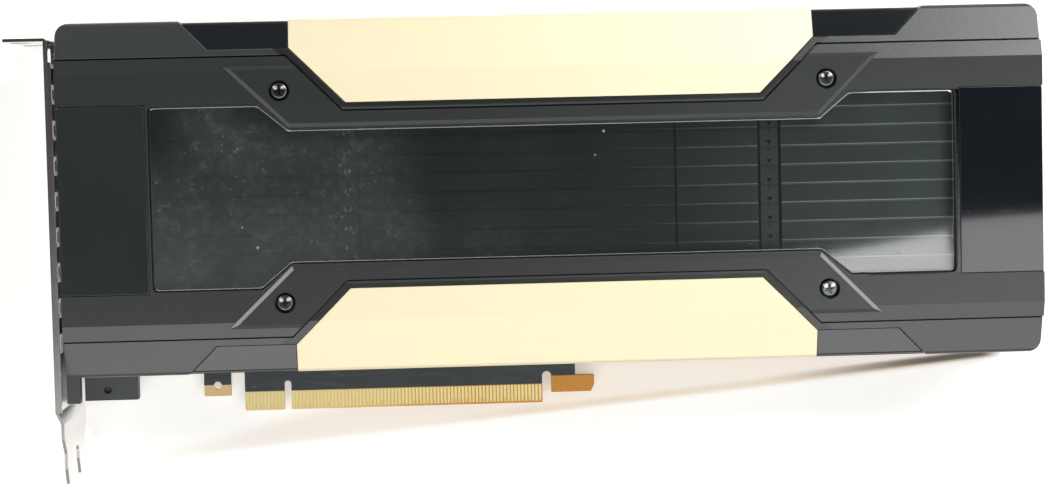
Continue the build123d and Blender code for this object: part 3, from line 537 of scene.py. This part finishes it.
def softened(node, width, segments=2, chosen=None, mirrored=False):
    """A copy of a node with its sharp edges rounded, which stands for the node."""
    shape = bmesh.new()
    shape.from_mesh(nodes[node].data)
    bmesh.ops.remove_doubles(shape, verts=shape.verts, dist=0.002 * mm)
    if mirrored:
        mirror_upper_half(shape)
    bmesh.ops.dissolve_limit(shape, angle_limit=math.radians(0.5), use_dissolve_boundaries=False,
                             verts=shape.verts, edges=shape.edges, delimit=set())
    limit = math.radians(30)
    edges = [e for e in shape.edges if e.is_manifold and e.calc_face_angle(0) > limit]
    if chosen:
        edges = [e for e in edges if chosen(e)]
    mark = shape.faces.layers.float.new("rounded_edge")
    made = bmesh.ops.bevel(shape, geom=edges, offset=width, offset_type="OFFSET", affect="EDGES",
                           segments=segments, profile=0.5, clamp_overlap=True, material=-1)
    for face in made["faces"]:
        face[mark] = 1.0
    for face in shape.faces:
        face.smooth = True
    for edge in shape.edges:
        if edge.is_manifold:
            plain = all(face[mark] < 0.5 for face in edge.link_faces)
            across_round = edge.calc_length() < 1.2 * width
            turn = math.degrees(edge.calc_face_angle(0))
            edge.smooth = turn < (10 if (plain or across_round) and chosen is None else 60)
    mesh = bpy.data.meshes.new(node + "_soft")
    shape.to_mesh(mesh)
    shape.free()
    mesh.materials.append(finishes[finish_of[node]])
    piece = bpy.data.objects.new(node + "_soft", mesh)
    bpy.context.scene.collection.objects.link(piece)
    even = piece.modifiers.new("even_normals", "WEIGHTED_NORMAL")
    even.keep_sharp = True
    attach(piece, "root")
    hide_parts(node)
    return piece


def is_fold(edge):
    """Whether an edge is the long bend or the free edge along a fin's top."""
    one, other = (v.co for v in edge.verts)
    top = fin_top_z - 0.01 * mm
    return one.z > top and other.z > top and abs(one.y - other.y) < 0.01 * mm


fin_top_z = max(corner[2] for corner in nodes["rear_fin_stack"].bound_box)


def is_head_rim(edge):
    """Whether an edge goes round the top of a screw's head."""
    reach = [min(math.dist(v.co[:2], place) for place in screw_places) for v in edge.verts]
    return min(reach) > 1.6 * mm and all(v.co.z > screw_top_z - 0.7 * mm for v in edge.verts)


screw_places = [(screw_middle_x + end * screw_reach_x, mid_y + side * screw_reach_y)
                for end in (-1, 1) for side in (-1, 1)]
screw_top_z = max(corner[2] for corner in nodes["shroud_screws"].bound_box)
edge_rounds = {
    "centre_frame": 0.22,
    "upper_edge_cover": 0.2,
    "lower_edge_cover": 0.2,
    "upper_gold_panel": 0.12,
    "lower_gold_panel": 0.12,
    "upper_front_gloss_trim": 0.1,
    "upper_rear_gloss_trim": 0.1,
    "lower_front_gloss_trim": 0.1,
    "lower_rear_gloss_trim": 0.1,
    "window_panel": 0.4,
    "left_end_plate": 0.15,
    "right_end_plate": 0.15,
    "io_bracket": 0.12,
    "base_plate": 0.15,
    "backplate": 0.15,
}
for node, width in edge_rounds.items():
    softened(node, width * mm, mirrored=node == "centre_frame")
for node in ("front_fin_stack", "rear_fin_stack"):
    softened(node, 0.36 * mm, segments=3, chosen=is_fold)
softened("shroud_screws", 0.42 * mm, segments=4, chosen=is_head_rim)


# Floor
shade_tip_x, shade_tip_y = -54.3 * mm, -15.15 * mm
shade_upper_slope, shade_lower_slope = 0.2514, 0.0912


def pale_floor():
    """A wide pale floor just under the card.

    A faint warm wedge of painted shadow, with a darker painted line near its lower edge, and a dark
    streak of painted contact shadow are painted on it, beside the real shadow.
    """
    shape = bmesh.new()
    bmesh.ops.create_grid(shape, x_segments=1, y_segments=1, size=4.0)
    bmesh.ops.translate(shape, vec=Vector((0.07, 0.05, rest_z - 0.02 * mm)), verts=shape.verts)
    mesh = bpy.data.meshes.new("floor")
    shape.to_mesh(mesh)
    shape.free()
    floor = bpy.data.objects.new("floor", mesh)
    bpy.context.scene.collection.objects.link(floor)
    paint = Paint("pale_floor", Roughness=0.9, Specular_IOR_Level=0.1, Emission_Strength=0.42)
    cloud = paint.noise(3, 2.0)
    past = paint.x - shade_tip_x
    rise = paint.y - shade_tip_y
    over = rise - past * shade_lower_slope
    # painted shadow: a faint warm wedge below the card, darkening both base colour and glow
    shade = over.above(-0.001, 0.0012) * (past * shade_upper_slope - rise).above(-0.001, 0.004)
    fold = over.within(0.0012, 0.0004, 0.0014) * paint.x.within(0.13, 0.05, 0.05)
    shade = (shade * 0.5 + fold * 0.4) * paint.x.within(0.085, 0.09, 0.06)
    # painted contact shadow: a dark streak near the card's rear end
    painted_contact_shadow = over.within(0.002, 0.0004, 0.0014) * paint.x.above(0.13, 0.19) * 0.9
    painted_contact_shadow = painted_contact_shadow * paint.x.above(0.207, 0.199)
    tone = paint.mix(cloud, linear(240, 238, 234), linear(246, 245, 242))
    tone = paint.mix(shade, tone, linear(222, 208, 190))
    paint.feed("Base Color", paint.mix(painted_contact_shadow, tone, linear(70, 62, 55)))
    glow = paint.mix(shade, (1, 1, 1, 1), linear(226, 214, 198))
    glow = paint.mix(painted_contact_shadow, glow, linear(40, 35, 31))
    paint.feed("Emission Color", paint.mix(paint.seen_as_white(), (0, 0, 0, 1), glow))
    mesh.materials.append(paint.material)


pale_floor()


# Light
def soft_light(name, place, size, power, turn=None, target=None):
    """A soft rectangular light, facing a target or straight down and turned about Z."""
    lamp = bpy.data.lights.new(name, "AREA")
    lamp.shape = "RECTANGLE"
    lamp.size, lamp.size_y = size
    lamp.energy = power
    light = bpy.data.objects.new(name, lamp)
    light.location = place
    if target:
        aim = Vector(target) - Vector(place)
        light.rotation_euler = aim.to_track_quat("-Z", "Y").to_euler()
    else:
        light.rotation_euler = (0, 0, math.radians(turn))
    bpy.context.scene.collection.objects.link(light)


def studio_world():
    """A pale room with a dark ceiling above the bracket end."""
    world = bpy.data.worlds.new("studio")
    world.use_nodes = True
    bpy.context.scene.world = world
    room = Graph(world.node_tree)
    ray = room.node("ShaderNodeTexCoord", {}, {}, "Generated")
    x, y, z = room.split(ray)
    ceiling = z.above(0.62, 0.9) * x.above(0.55, 0.3) * y.above(-0.36, -0.02)
    wall = y.above(-0.2, 0.5) * 0.35
    paths = {kind: room.node("ShaderNodeLightPath", {}, {}, f"Is {kind} Ray")
             for kind in ("Camera", "Glossy", "Transmission")}
    mirror = paths["Glossy"].top(paths["Transmission"])
    bare = 1 - wall
    seen = (bare - ceiling * (bare - 0.07)) * mirror
    level = paths["Camera"].top(seen).top((1 - paths["Camera"].top(mirror)) * 0.05)
    sky = world.node_tree.nodes["Background"]
    white = room.mix(level, (0, 0, 0, 1), (1, 1, 1, 1))
    world.node_tree.links.new(white.socket, sky.inputs["Color"])
    sky.inputs["Strength"].default_value = 1.0


studio_world()
card_middle = (0.07, 0.06, 0.02)
soft_light("window_light", (0.56, 0.56, 0.62), (0.42, 0.42), 7.0, turn=0)
soft_light("side_panel", (0.2636, -0.059, 0.66), (0.15, 0.12), 0.27, turn=11.6)
soft_light("plate_panel", (0.5426, -0.0302, 0.662), (0.42, 0.12), 0.75, turn=2.5)
soft_light("near_panel", (-0.12, -0.15, 0.66), (0.3, 0.1), 0.4, turn=0)
soft_light("front_panel", (0.07, -0.5, 0.62), (1.15, 0.3), 3.25, target=card_middle)
soft_light("left_window", (-0.62, 0.55, 0.44), (0.3, 0.3), 2.6, target=card_middle)
soft_light("right_window", (0.79, 0.44, 0.33), (0.25, 0.25), 1.7, target=card_middle)


# Camera, solved from the photo's own edges
photo_width = 1048
sensor_width = 36.0


def photo_camera():
    """The camera at the photo's place, turned and focused as the photo was."""
    focal, shift_x, shift_y, distance = 2280.2, 1.248, 3.449, 617.72
    turns = [math.radians(a) for a in (3.119, 2.397, 1.479)]
    around = Matrix.Rotation(turns[2], 3, "Z") @ Matrix.Rotation(turns[1], 3, "Y")
    around = around @ Matrix.Rotation(turns[0], 3, "X")
    centre = Vector((68.0, 50.0, 30.0))
    place = around.transposed() @ Vector((-shift_x, -shift_y, distance)) + centre
    lens = bpy.data.cameras.new("photo_camera")
    lens.sensor_width = sensor_width
    lens.lens = sensor_width * focal / photo_width
    lens.clip_start = 0.01
    camera = bpy.data.objects.new("photo_camera", lens)
    camera.matrix_world = Matrix.Translation(place * mm) @ around.transposed().to_4x4()
    bpy.context.scene.collection.objects.link(camera)
    bpy.context.scene.camera = camera


photo_camera()
bpy.context.scene.view_settings.view_transform = "Standard"
